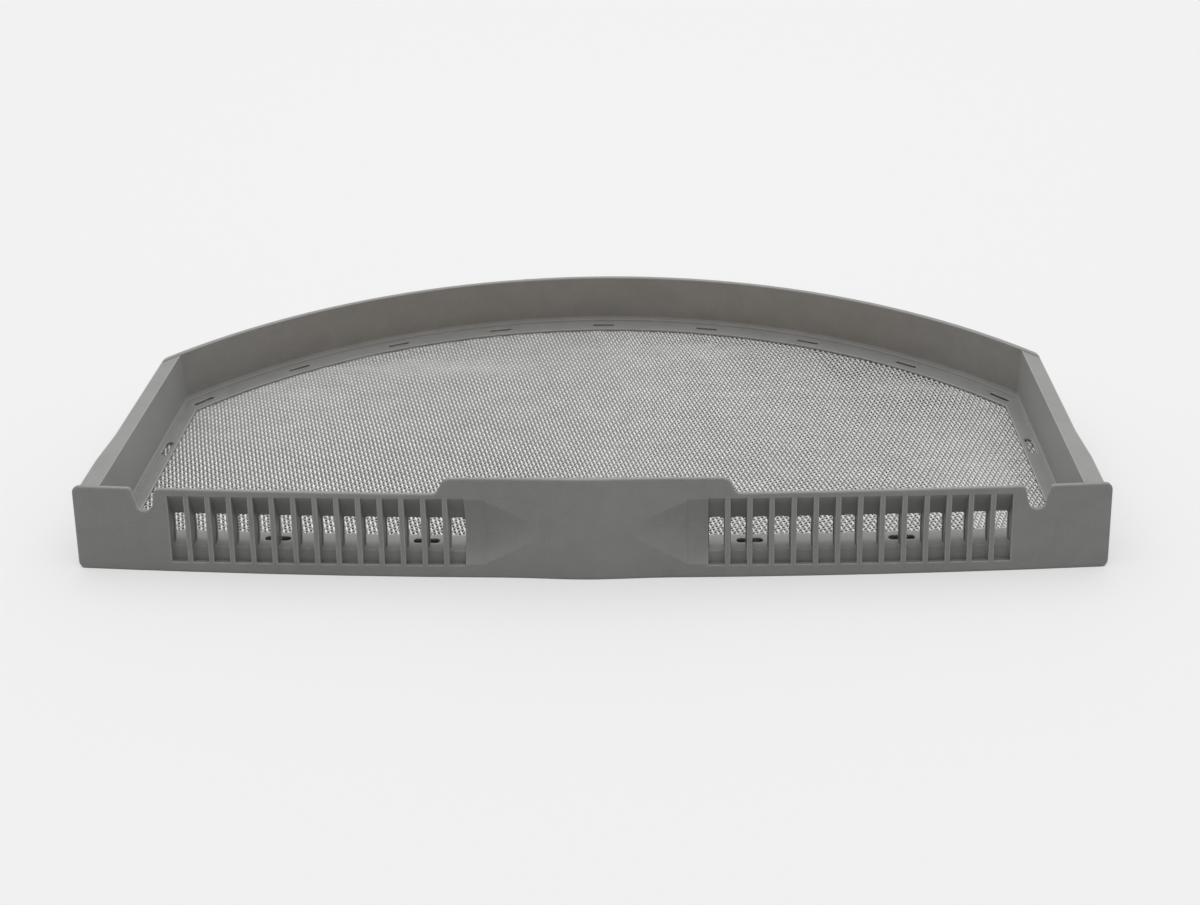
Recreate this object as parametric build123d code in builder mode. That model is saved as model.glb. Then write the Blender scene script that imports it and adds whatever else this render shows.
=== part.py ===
from build123d import *
from math import acos, asin, cos, degrees, radians, sin, sqrt, tan
import os

# Tumble dryer lint filter: one moulded tray frame and the woven screen that its ledge holds.
# X runs along the front panel, Y runs back from it and Z is up, all in millimetres.
# The origin is on the surface that the filter rests on, under the middle of its outline.

# Whole filter
overall_width = 395.0
overall_depth = 212.0
panel_height = 32.4
rim_drop = 2.9
wall = 2.0

# Front panel: bowed along its length, leaning back, with a low crown in the middle
panel_lean = 12.0
panel_thickness = 2.4
panel_corner = 2.7
panel_edge_round = 0.6
bow_radius = 2630.0
crown_proud = 1.2
crown_half_width = 32.0

# Grip tab on the middle of the panel's top edge
tab_rise = 6.1
tab_half_base = 56.2
tab_half_top = 53.9
tab_fillet = 3.2
tab_round = 4.4

# U notch near each end of the panel's top edge
notch_from_end = 28.0
notch_top_width = 10.0
notch_floor_width = 5.3
notch_depth = 8.9
notch_lip_round = 1.5
notch_floor_round = 3.2

# Cove beside the first louvre bays, measured up the leaning face, and the spool where it runs out
cove_foot = 5.3
cove_height = 25.8
cove_depth = 4.0
spool_radius = 133.0
spool_proud = 1.56

# Louvre bays: deeper coves between straight ribs, each with a window into the tray
louvre_from_end = 36.0
bay_first = 49.2
bay_pitch = 8.29
bay_width = 6.3
bay_depth = 7.0
bay_sill_depth = 2.8
bay_lip = 0.5
bay_sheet = 2.0
backing_from_middle = 22.0
window_width = 5.6
window_top = 19.8
window_corner = 1.4

# Tray walls, seen from above
side_set_in = 10.0
side_taper = 0.045
back_radius = 249.6
back_lip = 0.3

# Rails that turn outwards at the top of the side walls
rail_thickness = 2.0
rail_front_width = 7.5
rail_middle_width = 6.2
rail_back_width = 6.1
rail_wide_until = 35.0
rail_narrow_from = 56.0
rail_corner = 5.0

# Ledge that carries the screen, with a low step against the walls
ledge_underside = 5.6
ledge_front = 16.0
ledge_side = 6.8
ledge_back = 11.2
step_rise = 1.0
step_side = 1.0
step_back = 2.8

# Slots left in the ledge by the pins that hold the screen in the mould
slot_length = 10.4
slot_width = 2.0
slot_from_edge = 4.4
slot_turn = 11.55
slot_back_count = 9
slot_side_length = 12.0
slot_side_width = 3.0
slot_side_from_edge = 3.2
slot_side_from_panel = 85.0
slot_front_width = 3.2
slot_front_inner = 62.0
slot_front_outer = 120.0

# Woven screen: its edge is held in a groove of the ledge
screen_bottom = 7.0
screen_thickness = 0.8
screen_cover = 1.0
screen_hold = 5.6
screen_edge_clearance = 0.3
screen_field_thickness = 0.3
field_inset = 0.5
weave_turn = 10.0
warp_pitch = 1.47
weft_pitch = 2.0
threads_per_ridge = 4
ridge_width = 1.2

# Plain grid of openings in the screen, counted in threads, for the many small ones of the weave
grid_warps = 20
grid_wefts = 12
opening_warps = 14
opening_wefts = 8
grid_border = 3.0

# Room by which a cutting tool passes the solid that it cuts
past = 10.0

half_width = overall_width / 2
face_y = crown_proud - overall_depth / 2
foot_to_back = overall_depth - crown_proud
back_centre = foot_to_back - back_radius
side_front = half_width - side_set_in

lean = radians(panel_lean)
foot = Vector(0, face_y, 0)
across = Vector(1, 0, 0)
behind = Vector(0, cos(lean), -sin(lean))
up_face = Vector(0, sin(lean), cos(lean))
face_length = (panel_height + tab_rise) / cos(lean)

cove_middle = cove_foot + cove_height / 2
cove_radius = ((cove_height / 2) ** 2 + cove_depth**2) / (2 * cove_depth)
spool_turn = degrees(acos(1 - (cove_depth + spool_proud) / spool_radius))
spool_end = spool_radius * sin(radians(spool_turn))
bay_half_chord = cove_height / 2 + bay_lip
bay_radius = (bay_half_chord**2 + bay_depth**2) / (2 * bay_depth)
louvre_end = half_width - louvre_from_end
bay_room = louvre_end - bay_width / 2 - bay_first
bay_count = int(bay_room / bay_pitch) + 1
bay_middles = [bay_first + number * bay_pitch for number in range(bay_count)]
bay_places = [-middle for middle in bay_middles] + bay_middles

screen_top = screen_bottom + screen_thickness
ledge_top = screen_top + screen_cover
ledge_inner = (ledge_side, wall + ledge_back, ledge_front)
screen_edge = tuple(inset - screen_hold for inset in ledge_inner)
groove_edge = tuple(inset - screen_edge_clearance for inset in screen_edge)
field_edge = tuple(inset + field_inset for inset in ledge_inner)
grid_edge = tuple(inset + grid_border for inset in ledge_inner)

rim_plane = Plane(origin=(0, face_y, panel_height), x_dir=(1, 0, 0), z_dir=(0, rim_drop, foot_to_back))
face_base = Plane(origin=foot - up_face * past, x_dir=across, z_dir=up_face)


def tray_plane(height):
    """Level plane whose origin is over the foot of the panel."""
    return Plane(origin=(0, face_y, height))


def bow(x):
    """Distance by which the panel's face curves back at x."""
    return bow_radius - sqrt(bow_radius**2 - x**2)


def up_to(x, z):
    """Distance up the leaning face from its foot to the height z at x."""
    return (z + bow(x) * sin(lean)) / cos(lean)


def bow_turn(x):
    """Angle round the panel's bow at x."""
    return degrees(asin(x / bow_radius))


def curve_plane(radius, proud, turn):
    """Section plane at one angle round a curve that stands proud of the panel's foot."""
    angle = radians(turn)
    return Plane(
        origin=foot + across * (radius * sin(angle)) + behind * (radius - radius * cos(angle) - proud),
        x_dir=behind * cos(angle) - across * sin(angle),
        z_dir=across * cos(angle) + behind * sin(angle),
    )


def curve_axis(radius, proud):
    """Axis of a curve that stands proud of the panel's foot."""
    return Axis(foot + behind * (radius - proud), up_face)


def side_inner(y):
    """Half of the tray's inner width at a distance behind the panel's foot."""
    return side_front - side_taper * y


def side_meets(centre, radius, side_inset, direction):
    """Point where an inset side line meets a circle about the tray's middle line."""
    start = side_front - side_inset
    half_b = start * side_taper + centre
    spread = 1 + side_taper**2
    root = sqrt(half_b**2 - spread * (start**2 + centre**2 - radius**2))
    y = (half_b + direction * root) / spread
    return (start - side_taper * y, y)


def on_back(corner):
    """Whether a corner of a plan lies on the outside of the back wall."""
    return abs(sqrt(corner.X**2 + (corner.Y - back_centre) ** 2) - back_radius) < 0.01


def tray_outline(side_inset, back_inset, front_inset, mode=Mode.ADD):
    """Face of the tray's outline, inset from its inner sides, outer back and panel foot."""
    front_x, front_y = side_meets(bow_radius, bow_radius - front_inset, side_inset, -1)
    back_x, back_y = side_meets(back_centre, back_radius - back_inset, side_inset, 1)
    with BuildLine() as outline:
        ThreePointArc((-front_x, front_y), (0, front_inset), (front_x, front_y))
        Line((front_x, front_y), (back_x, back_y))
        ThreePointArc((back_x, back_y), (0, foot_to_back - back_inset), (-back_x, back_y))
        Line((-back_x, back_y), (-front_x, front_y))
    make_face(outline.edges(), mode=mode)


# Panel: the plan of its face run up the lean, kept inside its outline from the front
with BuildPart() as panel:
    plan_reach = half_width + past
    crown_slope = crown_half_width / sqrt(bow_radius**2 - crown_half_width**2)
    plan_back = bow(plan_reach) + panel_thickness
    with BuildSketch(face_base):
        with BuildLine():
            crown_left = (-crown_half_width, bow(crown_half_width))
            crown_right = (crown_half_width, bow(crown_half_width))
            arc_middle = (plan_reach + crown_half_width) / 2
            ThreePointArc((-plan_reach, bow(plan_reach)), (-arc_middle, bow(arc_middle)), crown_left)
            Spline(
                crown_left,
                (0, -crown_proud),
                crown_right,
                tangents=((1, -crown_slope), (1, crown_slope)),
            )
            ThreePointArc(crown_right, (arc_middle, bow(arc_middle)), (plan_reach, bow(plan_reach)))
            Line((plan_reach, bow(plan_reach)), (plan_reach, plan_back))
            ThreePointArc((plan_reach, plan_back), (0, panel_thickness), (-plan_reach, plan_back))
            Line((-plan_reach, plan_back), (-plan_reach, bow(plan_reach)))
        make_face()
    extrude(amount=face_length + 2 * past)
    notch_middle = half_width - notch_from_end
    notch_floor = panel_height - notch_depth
    corners = [
        (half_width, -past / 2, panel_corner),
        (half_width, panel_height, panel_corner),
        (notch_middle + notch_top_width / 2, panel_height, notch_lip_round),
        (notch_middle + notch_floor_width / 2, notch_floor, notch_floor_round),
        (notch_middle - notch_floor_width / 2, notch_floor, notch_floor_round),
        (notch_middle - notch_top_width / 2, panel_height, notch_lip_round),
        (tab_half_base, panel_height, tab_fillet),
        (tab_half_top, panel_height + tab_rise, tab_round),
    ]
    right_side = [(x, up_to(x, z)) for x, z, _ in corners]
    left_side = [(-x, up_to(x, z)) for x, z, _ in reversed(corners)]
    rounds = [corner_round for _, _, corner_round in corners]
    with BuildSketch(Plane(origin=foot, x_dir=across, z_dir=-behind)):
        with BuildLine():
            FilletPolyline(*right_side, *left_side, radius=rounds + rounds[::-1], close=True)
        make_face()
    extrude(amount=overall_depth, both=True, mode=Mode.INTERSECT)
    crown_seams = panel.edges().filter_by(Axis(foot, up_face)).sort_by(Axis.X)[2:-2]
    outline_edges = panel.edges().filter_by(Axis(foot, behind), reverse=True)
    fillet(outline_edges.filter_by(lambda edge: edge not in crown_seams), panel_edge_round)
    with BuildSketch(Plane.XZ) as above_base:
        Rectangle(overall_width, panel_height + tab_rise + past, align=(Align.CENTER, Align.MIN))
        fillet(above_base.vertices().group_by(Axis.Y)[0], panel_corner)
    extrude(amount=overall_depth, both=True, mode=Mode.INTERSECT)

# Backing: the rounded sheet behind the louvre bays, one run on each side of the middle
with BuildPart() as backing:
    backing_turn = bow_turn(louvre_end + bay_sheet) - bow_turn(backing_from_middle)
    for start_x in (-louvre_end - bay_sheet, backing_from_middle):
        with BuildSketch(curve_plane(bow_radius, 0, bow_turn(start_x))):
            with Locations((bay_depth - bay_radius, cove_middle)):
                Circle(bay_radius + bay_sheet)
            with Locations((panel_thickness / 2, cove_middle)):
                Rectangle(
                    2 * bay_radius,
                    4 * bay_radius,
                    align=(Align.MIN, Align.CENTER),
                    mode=Mode.INTERSECT,
                )
        revolve(axis=curve_axis(bow_radius, 0), revolution_arc=backing_turn)

# Cove tool: a round channel along the bow, from the spool into the first bay on each side
with BuildPart() as cove_tool:
    cove_turn = bow_turn(bay_first) - bow_turn(spool_end)
    for start_x in (-bay_first, spool_end):
        with BuildSketch(curve_plane(bow_radius, 0, bow_turn(start_x))):
            with Locations((cove_depth - cove_radius, cove_middle)):
                Circle(cove_radius)
        revolve(axis=curve_axis(bow_radius, 0), revolution_arc=cove_turn)

# Spool tool: the same channel run round a tight curve, so that the coves run out towards the crown
with BuildPart() as spool_tool:
    with BuildSketch(curve_plane(spool_radius, spool_proud, -spool_turn)):
        with Locations((-cove_radius, cove_middle)):
            Circle(cove_radius)
    revolve(axis=curve_axis(spool_radius, spool_proud), revolution_arc=2 * spool_turn)

# Bay tool: the deeper cove above the sills, kept only between the ribs
with BuildPart() as bay_tool:
    with BuildSketch(curve_plane(bow_radius, 0, -bow_turn(louvre_end))):
        with Locations((bay_depth - bay_radius, cove_middle)):
            Circle(bay_radius)
    revolve(axis=curve_axis(bow_radius, 0), revolution_arc=2 * bow_turn(louvre_end))
    with BuildSketch(Plane.XZ):
        with Locations([(place, ledge_top) for place in bay_places]):
            Rectangle(bay_width, 2 * bay_radius, align=(Align.CENTER, Align.MIN))
    extrude(amount=overall_depth, both=True, mode=Mode.INTERSECT)

# Sill tool: the shallow recess under each sill
with BuildPart() as sill_tool:
    with BuildSketch(curve_plane(bow_radius, 0, -bow_turn(louvre_end))):
        with Locations((bay_sill_depth, cove_foot - bay_lip)):
            Rectangle(bay_sill_depth + past, cove_height / 2, align=(Align.MAX, Align.MIN))
    revolve(axis=curve_axis(bow_radius, 0), revolution_arc=2 * bow_turn(louvre_end))
    with BuildSketch(Plane.XZ):
        with Locations([(place, cove_middle) for place in bay_places]):
            Rectangle(bay_width, 4 * bay_radius)
    extrude(amount=overall_depth, both=True, mode=Mode.INTERSECT)

# Trim tool: everything in front of the middle of the panel's thickness
with BuildPart() as trim_tool:
    trim_turn = bow_turn(half_width + 2 * past)
    with BuildSketch(curve_plane(bow_radius, 0, -trim_turn)):
        with Locations((panel_thickness / 2, 0)):
            Rectangle(overall_depth / 4, 4 * face_length, align=(Align.MAX, Align.CENTER))
    revolve(axis=curve_axis(bow_radius, 0), revolution_arc=2 * trim_turn)

# Walls: two sides and the curved back, cut level with the falling rim
with BuildPart() as walls:
    with BuildSketch(tray_plane(0)):
        tray_outline(-wall, 0, 0)
        tray_outline(0, wall, -past, mode=Mode.SUBTRACT)
    extrude(amount=panel_height + past)
    split(bisect_by=rim_plane, keep=Keep.BOTTOM)

# Rails: flanges that stand out from the top of the side walls and stop at the back wall
with BuildPart() as rails:
    corner_x, corner_y = side_meets(back_centre, back_radius, -wall, 1)
    with BuildSketch(tray_plane(0)) as rail_plan:
        with BuildLine():
            Polyline(
                (side_inner(0) + wall / 2, 0),
                (side_inner(0) + rail_front_width, 0),
                (side_inner(rail_wide_until) + rail_front_width, rail_wide_until),
                (side_inner(rail_narrow_from) + rail_middle_width, rail_narrow_from),
                (side_inner(corner_y) + rail_back_width, corner_y),
                (side_inner(corner_y) + rail_back_width, corner_y + past),
                (side_inner(corner_y + past) + wall / 2, corner_y + past),
                close=True,
            )
        make_face()
        mirror(about=Plane.YZ)
        with Locations((0, back_centre)):
            Circle(back_radius, mode=Mode.INTERSECT)
        back_corners = rail_plan.vertices().filter_by(on_back).sort_by(lambda corner: abs(corner.X))
        fillet(back_corners[2:], rail_corner)
    extrude(amount=panel_height + past)
    split(bisect_by=rim_plane, keep=Keep.BOTTOM)
    split(bisect_by=rim_plane.offset(-rail_thickness), keep=Keep.TOP)

# Back lip: the top of the back wall, a little above the rails and out to their edges
with BuildPart() as lip:
    lip_half = side_inner(corner_y) + rail_back_width
    with BuildSketch(tray_plane(0)) as lip_plan:
        with Locations((0, back_centre)):
            Circle(back_radius)
            Circle(back_radius - wall, mode=Mode.SUBTRACT)
        with Locations((0, corner_y - past)):
            Rectangle(2 * lip_half, back_radius, align=(Align.CENTER, Align.MIN), mode=Mode.INTERSECT)
        fillet(lip_plan.vertices().filter_by(on_back), rail_corner)
    extrude(amount=panel_height + past)
    split(bisect_by=rim_plane.offset(back_lip), keep=Keep.BOTTOM)
    split(bisect_by=rim_plane.offset(-rail_thickness), keep=Keep.TOP)

# Slot tool: round-ended slots along the back, one at each side and five along the front
with BuildPart() as slot_tool:
    slot_radius = back_radius - wall - ledge_back + slot_from_edge
    side_slot_x = side_inner(slot_side_from_panel) - ledge_side + slot_side_from_edge
    side_slot_angle = 90 + degrees(side_taper)
    front_slots = [0, -slot_front_inner, slot_front_inner, -slot_front_outer, slot_front_outer]
    with BuildSketch(tray_plane(0)):
        for number in range(slot_back_count):
            turn = (number - (slot_back_count - 1) / 2) * slot_turn
            x = slot_radius * sin(radians(turn))
            y = back_centre + slot_radius * cos(radians(turn))
            with Locations(Location((x, y), -turn)):
                SlotOverall(slot_length, slot_width)
        for side in (-1, 1):
            with Locations(Location((side * side_slot_x, slot_side_from_panel), side * side_slot_angle)):
                SlotOverall(slot_side_length, slot_side_width)
        for x in front_slots:
            with Locations(Location((x, bow(x) + ledge_front - slot_from_edge), bow_turn(x))):
                SlotOverall(slot_length, slot_front_width)
    extrude(amount=ledge_top + step_rise + past)

# Ledge: a shelf all round with a low step at the walls and a groove for the screen's edge
with BuildPart() as ledge:
    with BuildSketch(tray_plane(ledge_underside)):
        tray_outline(-wall / 2, wall / 2, 0)
        tray_outline(*ledge_inner, mode=Mode.SUBTRACT)
    extrude(amount=ledge_top - ledge_underside)
    with BuildSketch(tray_plane(ledge_top)):
        tray_outline(-wall / 2, wall / 2, 0)
        tray_outline(step_side, wall + step_back, -past, mode=Mode.SUBTRACT)
    extrude(amount=step_rise)
    with BuildSketch(tray_plane(screen_bottom)):
        tray_outline(*groove_edge)
    extrude(amount=screen_thickness, mode=Mode.SUBTRACT)
    add(slot_tool.part, mode=Mode.SUBTRACT)

# Filter frame: one moulding
with BuildPart() as filter_frame:
    add(walls.part)
    add(rails.part)
    add(lip.part)
    add(ledge.part)
    add(trim_tool.part, mode=Mode.SUBTRACT)
    add(panel.part)
    add(backing.part)
    add(cove_tool.part, mode=Mode.SUBTRACT)
    add(spool_tool.part, mode=Mode.SUBTRACT)
    add(bay_tool.part, mode=Mode.SUBTRACT)
    add(sill_tool.part, mode=Mode.SUBTRACT)
    window_reach = bow(louvre_end) + panel_height * tan(lean) + bay_depth + 2 * bay_sheet
    with BuildSketch(Plane.XZ.offset(-face_y)) as windows:
        with Locations([(place, ledge_top) for place in bay_places]):
            Rectangle(window_width, window_top - ledge_top, align=(Align.CENTER, Align.MIN))
        fillet(windows.vertices().group_by(Axis.Y)[-1], window_corner)
    extrude(amount=-window_reach, mode=Mode.SUBTRACT)


def in_grid(x, y):
    """Whether a place in the screen is inside the border of its grid of openings."""
    clear_of_sides = abs(x) < side_inner(y) - ledge_side - grid_border
    clear_of_panel = y > bow(x) + ledge_front + grid_border
    from_back = sqrt(x**2 + (y - back_centre) ** 2)
    return clear_of_sides and clear_of_panel and from_back < back_radius - wall - ledge_back - grid_border


# Mesh screen: a flat border in the groove and a thinner field that carries the weave
with BuildPart() as mesh_screen:
    with BuildSketch(tray_plane(screen_bottom)):
        tray_outline(*screen_edge)
    extrude(amount=screen_thickness)
    ridge_rise = (screen_thickness - screen_field_thickness) / 2
    warp_step = warp_pitch * threads_per_ridge
    weft_step = weft_pitch * threads_per_ridge
    weave_half = int(overall_width / warp_step / 2)
    weft_half = int(overall_depth / weft_step / 2) + weave_half // 4
    for floor, step, count, turn in (
        (screen_top - ridge_rise, warp_step, weave_half, weave_turn),
        (screen_bottom, weft_step, weft_half, weave_turn + 90),
    ):
        with BuildSketch(tray_plane(floor)):
            tray_outline(*field_edge)
            with Locations(Location((0, foot_to_back / 2), turn)):
                with Locations([(number * step, 0) for number in range(-count, count + 1)]):
                    Rectangle(ridge_width, 2 * overall_width, mode=Mode.SUBTRACT)
        extrude(amount=ridge_rise, mode=Mode.SUBTRACT)
    turned = radians(weave_turn)
    column_reach = int(overall_width / (grid_warps * warp_pitch) / 2)
    row_reach = int(overall_depth / (grid_wefts * weft_pitch) / 2) + 2
    openings = []
    for row in range(-row_reach, row_reach):
        for column in range(-column_reach, column_reach):
            along = (column + 0.5) * grid_warps * warp_pitch
            back = (row + 0.5) * grid_wefts * weft_pitch
            x = along * cos(turned) - back * sin(turned)
            y = along * sin(turned) + back * cos(turned) + foot_to_back / 2
            if in_grid(x, y):
                openings.append(Location((x, y), weave_turn))
    with BuildSketch(tray_plane(screen_bottom)):
        with Locations(openings):
            Rectangle(opening_warps * warp_pitch, opening_wefts * weft_pitch)
        tray_outline(*grid_edge, mode=Mode.INTERSECT)
    extrude(amount=screen_thickness, mode=Mode.SUBTRACT)

os.makedirs("parts", exist_ok=True)
for piece, node in ((filter_frame, "filter_frame"), (mesh_screen, "mesh_screen")):
    piece.part.label = node
    export_step(piece.part, f"parts/{node}.step")
    print(node, piece.part.is_valid, len(piece.part.solids()), round(piece.part.volume))
print("openings in the screen:", len(openings))
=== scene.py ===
from math import exp, hypot, radians, sqrt

import bpy
import numpy as np
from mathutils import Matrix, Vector, noise


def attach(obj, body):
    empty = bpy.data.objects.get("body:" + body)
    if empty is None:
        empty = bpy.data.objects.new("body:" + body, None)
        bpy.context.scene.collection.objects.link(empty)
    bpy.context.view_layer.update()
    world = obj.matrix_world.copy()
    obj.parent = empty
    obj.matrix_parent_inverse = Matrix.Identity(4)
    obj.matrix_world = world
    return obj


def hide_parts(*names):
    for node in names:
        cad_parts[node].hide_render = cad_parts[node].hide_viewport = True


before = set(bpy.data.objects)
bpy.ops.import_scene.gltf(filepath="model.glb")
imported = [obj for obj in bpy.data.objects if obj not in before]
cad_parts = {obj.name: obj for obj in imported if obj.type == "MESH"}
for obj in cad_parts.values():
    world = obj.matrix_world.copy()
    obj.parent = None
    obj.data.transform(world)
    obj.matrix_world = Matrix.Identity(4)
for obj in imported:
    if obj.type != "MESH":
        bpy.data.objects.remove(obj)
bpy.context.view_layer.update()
scene = bpy.context.scene
mm = 0.001


def hexToLinear(hexCode):
    channels = [int(hexCode[i:i + 2], 16) / 255 for i in (1, 3, 5)]
    return [c / 12.92 if c <= 0.04045 else ((c + 0.055) / 1.055) ** 2.4 for c in channels] + [1.0]


def addNode(tree, kind, settings=None, links=None):
    node = tree.nodes.new("ShaderNode" + kind)
    for key, value in (settings or {}).items():
        if isinstance(key, int) or key in node.inputs:
            node.inputs[key].default_value = value
        else:
            setattr(node, key, value)
    for key, source in (links or {}).items():
        tree.links.new(source, node.inputs[key])
    return node


def newMaterial(name):
    material = bpy.data.materials.new(name)
    material.use_nodes = True
    material.node_tree.nodes.clear()
    return material, material.node_tree


# 1 for what the camera sees, also in gloss or through glass, and 0 for light on the object
def shownToCamera(tree):
    path = addNode(tree, "LightPath")
    seen = addNode(tree, "Math", {"operation": "MAXIMUM"},
                   {0: path.outputs["Is Camera Ray"], 1: path.outputs["Is Glossy Ray"]})
    shown = addNode(tree, "Math", {"operation": "MAXIMUM"},
                    {0: seen.outputs["Value"], 1: path.outputs["Is Transmission Ray"]})
    return shown.outputs["Value"]


# camera at the photograph's angle
view = dict(place=(0.0349, -0.7084, 0.3978), turn=(60.397, 1.359, 1.948), lens=56.98)
camera = bpy.data.objects.new("photoCamera", bpy.data.cameras.new("photoCamera"))
camera.data.sensor_fit, camera.data.sensor_width, camera.data.lens = "HORIZONTAL", 36, view["lens"]
camera.location = view["place"]
camera.rotation_euler = [radians(a) for a in view["turn"]]
scene.collection.objects.link(camera)
scene.camera = camera
print("camera set")

# moulded frame: the CAD node's shape is right, so it stays and gets the moulding's finish
moulding = dict(
    grey="#90908e", rearPaintedGrey="#99938d", edgeHighlightGrey="#cacac8",
    grain=0.55, grainDepth=0.022,     # mm; grit of this kind is near 0.2 mm, drawn coarser so that it shows
    grainStrength=0.8,
    mottle=6, flow=28,                # mm, slow drifts in tone
    grainTone=0.08, mottleTone=0.05, flowTone=0.04,
    edgeRound=1.0, cornerReach=3.0,   # mm
    edgeHighlightShare=0.75, edgeTilt=(0.99, 0.8), cornerOpen=(0.6, 0.9),
    rearPaintedFrom=-20, rearPaintedTo=90,          # mm back from the middle
    rearPaintedFacing=(-0.3, -0.7),          # how far a face has to look to the front
    roughness=0.52, roughnessDrift=0.06, ior=1.49,
)


# injection-moulded polypropylene off a spark-eroded mould: an even matt grey, soft wide gleams,
# fine grit and a painted highlight along its free-standing edges
def makeMouldedPolypropylene(m):
    material, tree = newMaterial("polypropyleneSparkGrainMoulded")
    place = addNode(tree, "TexCoord").outputs["Object"]
    grain = addNode(tree, "TexNoise", {"Scale": 1 / (m["grain"] * mm), "Detail": 3.0, "Roughness": 0.6},
                    {"Vector": place}).outputs["Fac"]
    mottle = addNode(tree, "TexNoise", {"Scale": 1 / (m["mottle"] * mm), "Detail": 3.0},
                     {"Vector": place}).outputs["Fac"]
    flow = addNode(tree, "TexNoise", {"Scale": 1 / (m["flow"] * mm), "Detail": 2.0},
                   {"Vector": place}).outputs["Fac"]

    # rounded normals at the sharp edges, also used to find those edges
    rounded = addNode(tree, "Bevel", {"samples": 8, "Radius": m["edgeRound"] * mm})
    face = addNode(tree, "NewGeometry")
    lean = addNode(tree, "VectorMath", {"operation": "DOT_PRODUCT"},
                   {0: rounded.outputs["Normal"], 1: face.outputs["Normal"]})
    edge = addNode(tree, "MapRange", {"From Min": m["edgeTilt"][0], "From Max": m["edgeTilt"][1],
                                      "To Min": 0.0, "To Max": m["edgeHighlightShare"]},
                   {"Value": lean.outputs["Value"]})
    # painted highlight: only edges that stand free are painted pale, not the corners of the recesses
    free = addNode(tree, "AmbientOcclusion",
                   {"samples": 6, "only_local": True, "Distance": m["cornerReach"] * mm})
    bare = addNode(tree, "MapRange", {"From Min": m["cornerOpen"][0], "From Max": m["cornerOpen"][1]},
                   {"Value": free.outputs["AO"]})
    edgeHighlight = addNode(tree, "Math", {"operation": "MULTIPLY"},
                     {0: edge.outputs["Result"], 1: bare.outputs["Result"]})

    # painted light: the rear wall's faces that look to the front are painted a lighter, warmer grey
    split = addNode(tree, "SeparateXYZ", links={"Vector": place})
    rear = addNode(tree, "MapRange", {"From Min": m["rearPaintedFrom"] * mm, "From Max": m["rearPaintedTo"] * mm},
                   {"Value": split.outputs["Y"]})
    facing = addNode(tree, "SeparateXYZ", links={"Vector": face.outputs["Normal"]})
    upright = addNode(tree, "MapRange", {"From Min": m["rearPaintedFacing"][0], "From Max": m["rearPaintedFacing"][1]},
                      {"Value": facing.outputs["Y"]})
    rearPaintedLight = addNode(tree, "Math", {"operation": "MULTIPLY"},
                     {0: rear.outputs["Result"], 1: upright.outputs["Result"]})
    base = addNode(tree, "Mix", {"data_type": "RGBA", 6: hexToLinear(m["grey"]),
                                 7: hexToLinear(m["rearPaintedGrey"])}, {0: rearPaintedLight.outputs["Value"]})

    # the patterns lighten and darken it: pattern, its reach either side of the middle, change of tone
    tone = None
    for pattern, reach, change in ((mottle, 0.2, m["mottleTone"]), (flow, 0.2, m["flowTone"]),
                                   (grain, 0.25, m["grainTone"])):
        part = addNode(tree, "MapRange", {"From Min": 0.5 - reach, "From Max": 0.5 + reach,
                                          "To Min": 1 - change, "To Max": 1 + change}, {"Value": pattern})
        part = part.outputs["Result"]
        if tone is not None:
            part = addNode(tree, "Math", {"operation": "MULTIPLY"}, {0: tone, 1: part}).outputs["Value"]
        tone = part
    shaded = addNode(tree, "VectorMath", {"operation": "SCALE"}, {0: base.outputs[2], "Scale": tone})
    # painted highlight: the free edges are mixed towards a pale grey
    edgeHighlighted = addNode(tree, "Mix", {"data_type": "RGBA", 7: hexToLinear(m["edgeHighlightGrey"])},
                   {0: edgeHighlight.outputs["Value"], 6: shaded.outputs["Vector"]})

    rough = addNode(tree, "MapRange", {"From Min": 0.3, "From Max": 0.7,
                                       "To Min": m["roughness"] - m["roughnessDrift"],
                                       "To Max": m["roughness"] + m["roughnessDrift"]}, {"Value": mottle})
    bump = addNode(tree, "Bump", {"Strength": m["grainStrength"], "Distance": m["grainDepth"] * mm},
                   {"Height": grain, "Normal": rounded.outputs["Normal"]})
    shader = addNode(tree, "BsdfPrincipled", {"IOR": m["ior"]},
                     {"Base Color": edgeHighlighted.outputs[2], "Roughness": rough.outputs["Result"],
                      "Normal": bump.outputs["Normal"]})
    addNode(tree, "OutputMaterial", links={"Surface": shader.outputs["BSDF"]})
    return material


frameNode = bpy.data.objects["filter_frame"]
mouldedGrey = makeMouldedPolypropylene(moulding)
for slot in frameNode.material_slots:
    slot.material = mouldedGrey
print("moulded frame finished")

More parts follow.
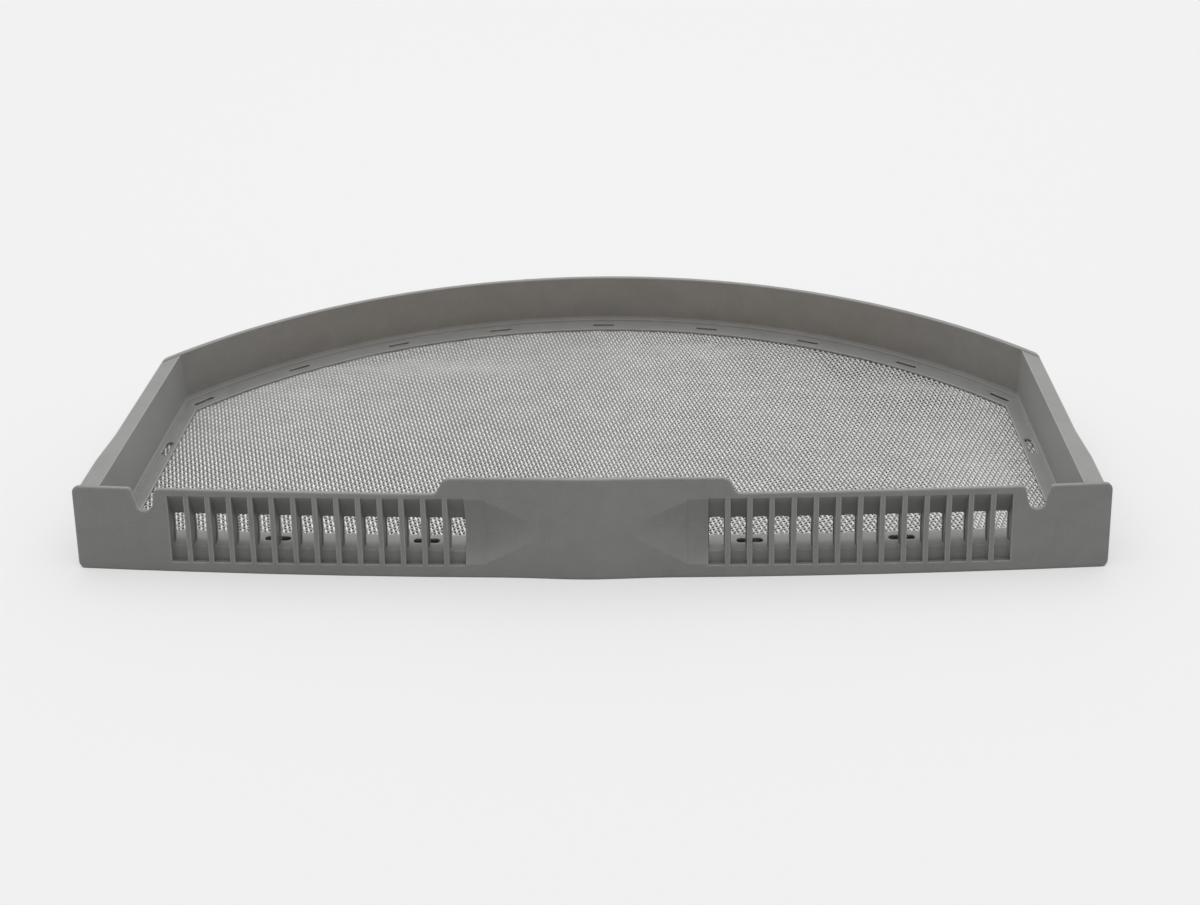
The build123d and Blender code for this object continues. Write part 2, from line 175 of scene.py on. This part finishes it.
# woven screen: each thread is a real thread that goes over and under its neighbours; sizes in mm
screen = dict(
    # the weave has been pulled askew: place across, warp spacing, warp lean in degrees,
    # weft slope, weft spacing
    pulls=[(-160, 1.62, 14.3, 0.41, 1.90), (-130, 1.62, 14.5, 0.59, 2.02), (-85, 1.65, 15.0, 0.51, 2.12),
           (-20, 1.60, 14.6, 0.19, 2.13), (20, 1.56, 14.4, 0.13, 2.01), (80, 1.79, 19.0, 0.61, 2.03),
           (120, 1.80, 19.2, 0.58, 2.15), (160, 1.49, 13.5, 0.27, 2.15)],
    # the weft closes up to the back and fans out to the right
    closer=0.0022, fan=6.5e-5, pulledDepth=(-35, 60),
    reachAcross=240, rowsEachWay=100,
    warpWidth=0.86, weftWidth=0.85, topShare=0.6, heightShare=0.55,
    rise=0.27, middle=7.4,                              # up and down from the sheet's height
    # the ledge's opening, and how far the threads run in under it
    foot=-104.8, frontLedge=16, bowRadius=2630,
    halfWidth=187.5, taper=0.045, sideLedge=6.8,
    backCentre=-143.6, backOpening=236.4, hold=5.4, holdFront=2.4,
    drift=0.3, driftLength=26, slackFrom=6,             # threads wander a little away from the edge
    # slack waves: place, reach across and back, rise
    waves=[(-75, 66, 46, 11, -1.1), (-70, 48, 50, 10, 0.7), (156, 44, 24, 9, -0.9), (150, 28, 28, 9, 0.6),
           (30, 80, 60, 8, -0.5), (-140, 20, 30, 14, 0.4)],
    # thread finish: turn in degrees is the thread's direction, pitch its spacing
    # painted shade: the weft's darker tint stands for the shade on its front side; warp and weft are the
    # same thread
    warp=dict(tint="#ececea", turn=105, pitch=1.6), weft=dict(tint="#c4c4c2", turn=22, pitch=2.0),
    shadeLength=40, threadTone=(0.86, 1.1), dust=9, dustTone=(0.94, 1.04), rightDarkeningReach=150, rightDarkening=0.04,
    roughness=0.38, ior=1.57,
)


# distances in from the side, front and back of the opening, minus under the ledge
def fromEdges(x, y, s):
    back = y - s["foot"]
    bow = s["bowRadius"] - sqrt(s["bowRadius"] ** 2 - x * x)
    return (s["halfWidth"] - s["taper"] * back - s["sideLedge"] - abs(x),
            back - bow - s["frontLedge"],
            s["backOpening"] - hypot(x, y - s["backCentre"]))


def insideScreen(x, y, s):
    side, front, back = fromEdges(x, y, s)
    return side > -s["hold"] and front > -s["holdFront"] and back > -s["hold"]


def settle(x, y, s):
    slack = min(1.0, max(0.0, min(fromEdges(x, y, s)) / s["slackFrom"]))   # the groove holds the edge flat
    spot = Vector((x, y, 0)) / s["driftLength"]
    dx = s["drift"] * noise.noise(spot)
    dy = s["drift"] * noise.noise(spot + Vector((0, 0, 7)))
    z = s["middle"]
    for waveX, waveY, reachX, reachY, up in s["waves"]:
        z += slack * up * exp(-((x - waveX) / reachX) ** 2 - ((y - waveY) / reachY) ** 2)
    return Vector((x + slack * dx, y + slack * dy, z))


def threadMesh(name, runs, width, s):
    verts, faces = [], []
    for points in runs:
        start = len(verts)
        for k, p in enumerate(points):
            along = (points[min(k + 1, len(points) - 1)] - points[max(k - 1, 0)]).normalized()
            across = along.cross(Vector((0, 0, 1))).normalized() * width / 2
            up = Vector((0, 0, s["heightShare"] * width / 2))
            top = s["topShare"] * across
            verts += [(p + d) * mm for d in (across - up, top + up, up - top, -across - up)]
        for k in range(len(points) - 1):
            a, b = start + 4 * k, start + 4 * k + 4
            faces += [(a + n, b + n, b + (n + 1) % 4, a + (n + 1) % 4) for n in range(4)]
        end = len(verts) - 4
        faces += [(start, start + 1, start + 2, start + 3), (end + 3, end + 2, end + 1, end)]   # closed ends
    mesh = bpy.data.meshes.new(name)
    mesh.from_pydata(verts, [], faces)
    mesh.polygons.foreach_set("use_smooth", [True] * len(mesh.polygons))
    piece = bpy.data.objects.new(name, mesh)
    scene.collection.objects.link(piece)
    return piece


def weave(s):
    across = np.arange(-s["reachAcross"], s["reachAcross"] + 1.0)
    place, spacing, lean, slope, weftSpacing = np.array(s["pulls"]).T
    count = np.cumsum(1 / np.interp(across, place, spacing))
    warpFoot = np.interp(np.arange(int(count[-1])), count, across)          # where each warp crosses y 0
    warpLean = np.tan(np.radians(np.interp(warpFoot, place, lean)))
    lift = np.cumsum(np.interp(across, place, slope))
    spread = np.interp(across, place, weftSpacing)

    def nextRow(row, way):
        depth = np.clip(row, *s["pulledDepth"])
        return row + way * (spread - s["closer"] * depth + s["fan"] * across * depth)

    rows = [lift - np.interp(0, across, lift)]
    for _ in range(s["rowsEachWay"]):
        rows = [nextRow(rows[0], -1)] + rows + [nextRow(rows[-1], 1)]
    grid = {}
    for j, row in enumerate(rows):
        x = warpFoot
        for _ in range(8):              # closes in on where each warp meets this row
            y = np.interp(x, across, row)
            x = warpFoot - warpLean * y
        for i in range(len(x)):
            if insideScreen(x[i], y[i], s):
                grid[i, j] = settle(x[i], y[i], s)

    def runsOf(outer, inner, isWarp):
        runs = []
        for a in range(outer):
            run = []
            for b in range(inner + 1):
                key = (a, b) if isWarp else (b, a)
                if key in grid:
                    over = (sum(key) % 2 == 0) == isWarp
                    run.append(grid[key] + Vector((0, 0, s["rise"] if over else -s["rise"])))
                elif run:
                    if len(run) > 1:
                        runs.append(run)
                    run = []
        return runs

    warp = threadMesh("screenWarp", runsOf(len(warpFoot), len(rows), True), s["warpWidth"], s)
    weft = threadMesh("screenWeft", runsOf(len(rows), len(warpFoot), False), s["weftWidth"], s)
    return warp, weft


# drawn polyester monofilament: silver grey, smooth and a little shiny, each thread its own shade
def makePolyesterMonofilament(name, thread, s):
    material, tree = newMaterial(name)
    place = addNode(tree, "TexCoord").outputs["Object"]
    # noise drawn out along the thread and a pitch wide across it
    stretch = (1 / (s["shadeLength"] * mm), 1 / (thread["pitch"] * mm), 1.0)
    alongThread = addNode(tree, "Mapping", {"Rotation": (0, 0, radians(-thread["turn"])), "Scale": stretch},
                          {"Vector": place})
    shade = addNode(tree, "TexNoise", {"Scale": 1.0, "Detail": 1.0},
                    {"Vector": alongThread.outputs["Vector"]})
    dust = addNode(tree, "TexNoise", {"Scale": 1 / (s["dust"] * mm), "Detail": 4.0}, {"Vector": place})
    tone = addNode(tree, "MapRange", {"From Min": 0.25, "From Max": 0.75, "To Min": s["threadTone"][0],
                                      "To Max": s["threadTone"][1]}, {"Value": shade.outputs["Fac"]})
    soil = addNode(tree, "MapRange", {"From Min": 0.3, "From Max": 0.7, "To Min": s["dustTone"][0],
                                      "To Max": s["dustTone"][1]}, {"Value": dust.outputs["Fac"]})
    # a little darker towards the right
    split = addNode(tree, "SeparateXYZ", links={"Vector": place})
    side = addNode(tree, "MapRange", {"From Min": -s["rightDarkeningReach"] * mm, "From Max": s["rightDarkeningReach"] * mm,
                                      "To Min": 1 + s["rightDarkening"], "To Max": 1 - s["rightDarkening"]},
                   {"Value": split.outputs["X"]})
    dustAndRightDarkening = addNode(tree, "Math", {"operation": "MULTIPLY"},
                    {0: soil.outputs["Result"], 1: side.outputs["Result"]})
    both = addNode(tree, "Math", {"operation": "MULTIPLY"},
                   {0: tone.outputs["Result"], 1: dustAndRightDarkening.outputs["Value"]})
    colour = addNode(tree, "VectorMath", {"operation": "SCALE", 0: hexToLinear(thread["tint"])[:3]},
                     {"Scale": both.outputs["Value"]})
    shader = addNode(tree, "BsdfPrincipled", {"Roughness": s["roughness"], "IOR": s["ior"]},
                     {"Base Color": colour.outputs["Vector"]})
    addNode(tree, "OutputMaterial", links={"Surface": shader.outputs["BSDF"]})
    return material


warp, weft = weave(screen)
# the weft's darker tint is painted shade
warp.data.materials.append(makePolyesterMonofilament("polyesterMonofilamentWarp", screen["warp"], screen))
weft.data.materials.append(makePolyesterMonofilament("polyesterMonofilamentWeft", screen["weft"], screen))
for piece in (warp, weft):
    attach(piece, "root")
    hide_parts("mesh_screen")
print("screen woven", len(warp.data.polygons), len(weft.data.polygons))

# pale floor, its light on the object kept down so that the front stays in soft shade
stage = dict(
    pale="#f4f4f4", bounce="#cccccc", glow=0.96, backdrop=0.893,
    # tone in deep shade, and how open the floor is there and clear of it
    deepShade=0.02, shadeOpen=(0.3, 0.55),
    size=8.0, drop=0.0002, closeShade=0.04, fadeFrom=0.5, fadeTo=1.5,   # metres
)
h, z = stage["size"] / 2, -stage["drop"]
floorMesh = bpy.data.meshes.new("paleFloor")
floorMesh.from_pydata([(-h, -h, z), (h, -h, z), (h, h, z), (-h, h, z)], [], [(0, 1, 2, 3)])
floor = bpy.data.objects.new("paleFloor", floorMesh)
scene.collection.objects.link(floor)


# seamless paper, matt and even, with the object's soft shadow
def makeSeamlessPaper(s):
    material, tree = newMaterial("paperSeamlessMatt")
    shown = shownToCamera(tree)
    # painted shade: the floor close under the screen and at the walls' feet is darkened from its ambient
    # occlusion
    close = addNode(tree, "AmbientOcclusion", {"samples": 16, "Distance": s["closeShade"]})
    depth = addNode(tree, "MapRange", {"From Min": s["shadeOpen"][0], "From Max": s["shadeOpen"][1],
                                       "To Min": s["deepShade"], "To Max": 1.0},
                    {"Value": close.outputs["AO"]})
    halfPale = [c / 2 for c in hexToLinear(s["pale"])[:3]]
    pale = addNode(tree, "VectorMath", {"operation": "SCALE", 0: halfPale},
                   {"Scale": depth.outputs["Result"]})
    # far from the object it runs into the backdrop with no horizon
    ground = addNode(tree, "TexCoord").outputs["Object"]
    reach = addNode(tree, "VectorMath", {"operation": "LENGTH"}, {0: ground})
    far = addNode(tree, "MapRange", {"From Min": s["fadeFrom"], "From Max": s["fadeTo"]},
                  {"Value": reach.outputs["Value"]})
    paper = addNode(tree, "Mix", {"data_type": "RGBA", 7: (0, 0, 0, 1)},
                    {0: far.outputs["Result"], 6: pale.outputs["Vector"]})
    backdropGlow = [s["backdrop"] / s["glow"]] * 3 + [1.0]
    lit = addNode(tree, "Mix", {"data_type": "RGBA", 7: backdropGlow},
                  {0: far.outputs["Result"], 6: pale.outputs["Vector"]})
    tint = addNode(tree, "Mix", {"data_type": "RGBA", 6: hexToLinear(s["bounce"])},
                   {0: shown, 7: paper.outputs[2]})
    # half of what is seen of it glows, which keeps the object's shadow soft
    glow = addNode(tree, "Math", {"operation": "MULTIPLY", 1: s["glow"]}, {0: shown})
    shader = addNode(tree, "BsdfPrincipled", {"Roughness": 0.95, "Specular IOR Level": 0.0},
                     {"Base Color": tint.outputs[2], "Emission Color": lit.outputs[2],
                      "Emission Strength": glow.outputs["Value"]})
    addNode(tree, "OutputMaterial", links={"Surface": shader.outputs["BSDF"]})
    return material


floorMesh.materials.append(makeSeamlessPaper(stage))

# one wide softbox overhead and even fill, weaker from the camera's side
lighting = dict(boxSize=2.6, boxPlace=(0.0, 0.35, 1.6), boxPower=16.5, fillFront=0.14, fillBack=1.19)
softbox = bpy.data.objects.new("softbox", bpy.data.lights.new("softbox", "AREA"))
softbox.data.shape, softbox.data.size = "SQUARE", lighting["boxSize"]
softbox.data.energy = lighting["boxPower"]
softbox.location = lighting["boxPlace"]
scene.collection.objects.link(softbox)
world = bpy.data.worlds.new("studio")
scene.world = world
world.use_nodes = True
tree = world.node_tree
tree.nodes.clear()
way = addNode(tree, "SeparateXYZ", links={"Vector": addNode(tree, "TexCoord").outputs["Generated"]})
fill = addNode(tree, "MapRange", {"From Min": -1.0, "From Max": 1.0, "To Min": lighting["fillFront"],
                                  "To Max": lighting["fillBack"]}, {"Value": way.outputs["Y"]})
level = addNode(tree, "Mix", {"data_type": "FLOAT", 3: stage["backdrop"]},
                {0: shownToCamera(tree), 2: fill.outputs["Result"]})
glow = addNode(tree, "Background", {"Color": (1, 1, 1, 1)}, {"Strength": level.outputs[0]})
addNode(tree, "OutputWorld", links={"Surface": glow.outputs["Background"]})
scene.view_settings.view_transform = "Standard"
print("floor and light set")
